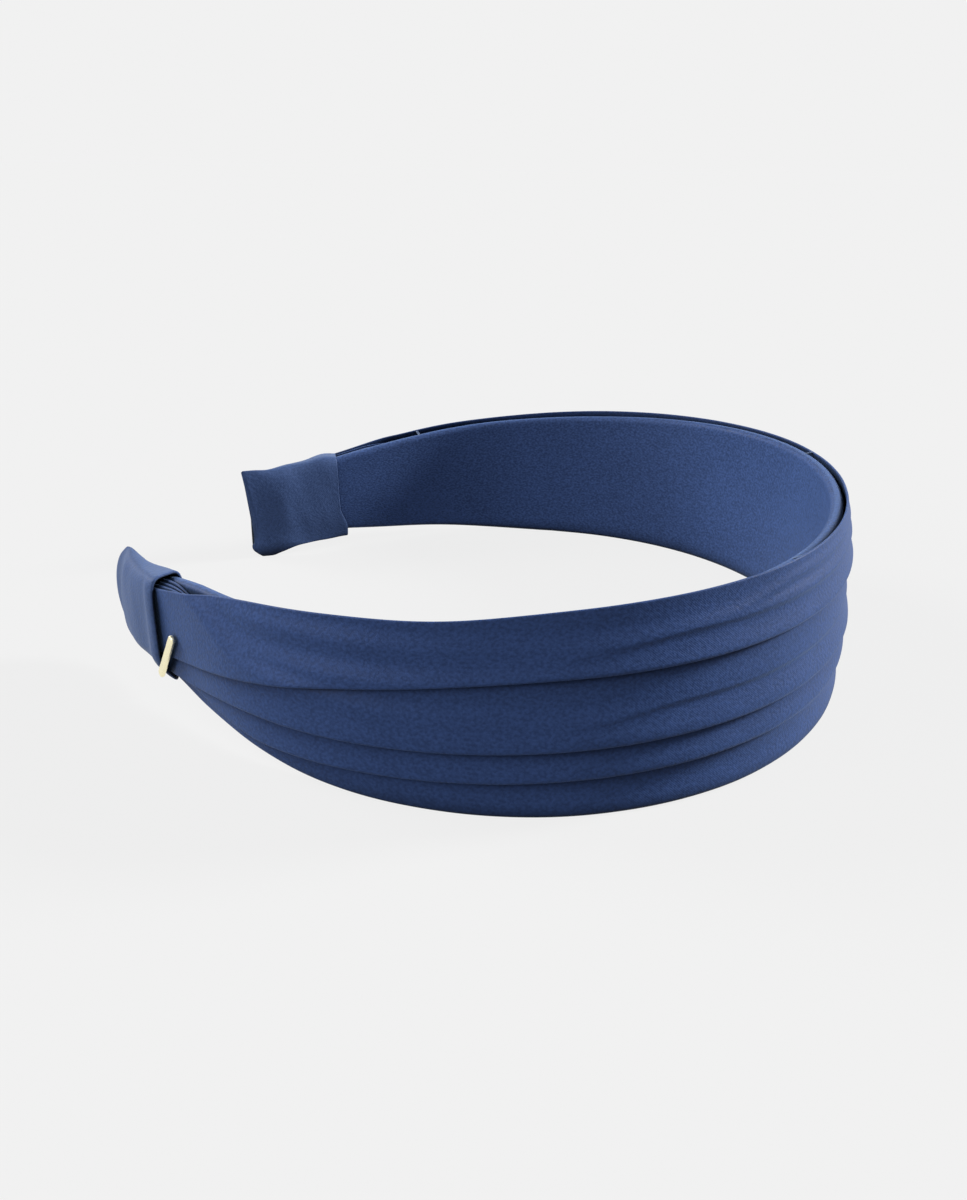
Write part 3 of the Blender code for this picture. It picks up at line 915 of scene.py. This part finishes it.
class HEADBAND_OT_stage(bpy.types.Operator):
    """Lays the floor, sets the lights and puts the camera where the photograph was taken"""

    bl_idname = "headband.stage"
    bl_label = "Stage"

    # Camera in the hoop's own frame, fitted to the photograph's outlines
    AZIMUTH = 0.2069
    ELEVATION = 0.3602
    ROLL = -0.0223
    DISTANCE = 0.25998
    TARGET = (-0.071295, 0.013262, -0.014314)
    CLIP = (0.01, 50.0)         # nearest and farthest that it sees

    # Soft lamps far away: name, direction that the light comes from, width in degrees and strength
    LAMPS = (
        ("left_light", (-0.82, 0.19, 0.50), 28.0, 2.9),
        ("left_front_light", (-0.70, -0.60, 0.30), 30.0, 1.3),
        ("right_light", (0.79, 0.44, 0.42), 14.0, 5.2),
        ("top_light", (0.22, -0.58, 0.78), 40.0, 0.9),
    )
    BACKDROP = 0.879            # brightness of the backdrop as it is seen
    FLOOR_RADIUS = 8.0
    FLOOR_POINTS = 64
    FLOOR_TINT = 0.15
    FLOOR_GLOW = 0.75           # share of the floor's brightness that stays as it is in the shadows

    def camera(self, context):
        az, el = self.AZIMUTH, self.ELEVATION
        back = Vector((math.sin(az) * math.cos(el), -math.cos(az) * math.cos(el), math.sin(el)))
        right = Vector((math.cos(az), math.sin(az), 0.0))
        up = back.cross(right)
        right, up = (
            right * math.cos(self.ROLL) + up * math.sin(self.ROLL),
            up * math.cos(self.ROLL) - right * math.sin(self.ROLL),
        )
        turn = Matrix((right, up, back)).transposed().to_4x4()
        data = bpy.data.cameras.new("photo_camera")
        data.sensor_width = SENSOR
        data.lens = FOCAL_PIXELS * SENSOR / PHOTO_HEIGHT
        data.clip_start, data.clip_end = self.CLIP
        made = bpy.data.objects.new("photo_camera", data)
        place = Vector(self.TARGET) + back * self.DISTANCE
        made.matrix_world = hoop_of(context).rest() @ Matrix.Translation(place) @ turn
        context.scene.collection.objects.link(made)
        context.scene.camera = made

    def floor_light(self):
        """Steady glow that brings the lit floor up to the backdrop's brightness."""
        light = 0.0
        for _, direction, _, strength in self.LAMPS:
            light += strength * Vector(direction).normalized().z / math.pi
        return (self.BACKDROP - (1.0 - self.FLOOR_GLOW) * self.FLOOR_TINT * light) / self.FLOOR_GLOW

    def seen(self, tree):
        """1 for what is looked at, mirrored or seen through, and 0 for what only sheds light."""
        rays = tree.nodes.new("ShaderNodeLightPath")
        mirrored, through_glass = rays.outputs["Is Glossy Ray"], rays.outputs["Is Transmission Ray"]
        indirect = maths(tree, "MAXIMUM", mirrored, through_glass)
        return maths(tree, "MAXIMUM", rays.outputs["Is Camera Ray"], indirect)

    def floor(self, context):
        bpy.ops.object.select_all(action="DESELECT")
        bpy.ops.mesh.primitive_circle_add(
            vertices=self.FLOOR_POINTS, radius=self.FLOOR_RADIUS, fill_type="NGON"
        )
        floor = context.object
        floor.name = "floor"
        finish = bpy.data.materials.new("pale_floor")
        finish.use_nodes = True
        tree = finish.node_tree
        shader = tree.nodes["Principled BSDF"]
        shader.inputs["Base Color"].default_value = (*[self.FLOOR_TINT] * 3, 1.0)
        shader.inputs["Roughness"].default_value = 1.0
        shader.inputs["Specular IOR Level"].default_value = 0.0
        glow = tree.nodes.new("ShaderNodeEmission")
        glow.inputs["Color"].default_value = (*[self.floor_light()] * 3, 1.0)
        mix = tree.nodes.new("ShaderNodeMixShader")
        tree.links.new(maths(tree, "MULTIPLY", self.seen(tree), self.FLOOR_GLOW), mix.inputs["Fac"])
        tree.links.new(shader.outputs["BSDF"], mix.inputs[1])
        tree.links.new(glow.outputs["Emission"], mix.inputs[2])
        tree.links.new(mix.outputs["Shader"], tree.nodes["Material Output"].inputs["Surface"])
        floor.data.materials.append(finish)

    def lamp(self, context, name, direction, width, strength):
        data = bpy.data.lights.new(name, "SUN")
        data.angle = math.radians(width)
        data.energy = strength
        made = bpy.data.objects.new(name, data)
        made.rotation_euler = Vector(direction).to_track_quat("Z", "Y").to_euler()
        context.scene.collection.objects.link(made)

    def backdrop(self, context):
        """A backdrop that is seen and sheds no light."""
        world = bpy.data.worlds.new("studio")
        world.use_nodes = True
        tree = world.node_tree
        around = tree.nodes["Background"]
        light = maths(tree, "MULTIPLY", self.seen(tree), self.BACKDROP)
        tree.links.new(light, around.inputs["Strength"])
        around.inputs["Color"].default_value = (1.0, 1.0, 1.0, 1.0)
        context.scene.world = world

    def execute(self, context):
        self.camera(context)
        self.floor(context)
        self.backdrop(context)
        for lamp in self.LAMPS:
            self.lamp(context, *lamp)
        context.scene.view_settings.view_transform = "Standard"
        return {"FINISHED"}


class HEADBAND_PT_panel(bpy.types.Panel):
    """Lists the headband's pieces, sizes and colours"""

    bl_idname = "HEADBAND_PT_panel"
    bl_label = "Headband"
    bl_space_type = "VIEW_3D"
    bl_region_type = "UI"
    bl_category = "Headband"

    def draw(self, context):
        for operator in OPERATORS:
            self.layout.operator(operator.bl_idname)
        for name in GROUPS:
            group = getattr(context.scene, name)
            for field in group.__annotations__:
                self.layout.prop(group, field)


OPERATORS = (
    HEADBAND_OT_lining,
    HEADBAND_OT_pleat_strips,
    HEADBAND_OT_end_sleeves,
    HEADBAND_OT_thread_tacks,
    HEADBAND_OT_hard_parts,
    HEADBAND_OT_stage,
)
GROUPS = {
    "headband_hoop": HeadbandHoop,
    "headband_cloth": HeadbandCloth,
    "headband_colours": HeadbandColours,
}
CLASSES = (*GROUPS.values(), *OPERATORS, HEADBAND_PT_panel)


def register():
    for cls in CLASSES:
        bpy.utils.register_class(cls)
    for name, group in GROUPS.items():
        setattr(bpy.types.Scene, name, bpy.props.PointerProperty(type=group))


def unregister():
    for name in GROUPS:
        delattr(bpy.types.Scene, name)
    for cls in reversed(CLASSES):
        bpy.utils.unregister_class(cls)


def main():
    register()
    bpy.ops.headband.lining()
    bpy.ops.headband.pleat_strips()
    bpy.ops.headband.end_sleeves()
    bpy.ops.headband.thread_tacks()
    bpy.ops.headband.hard_parts()
    bpy.ops.headband.stage()


if __name__ == "__main__":
    main()
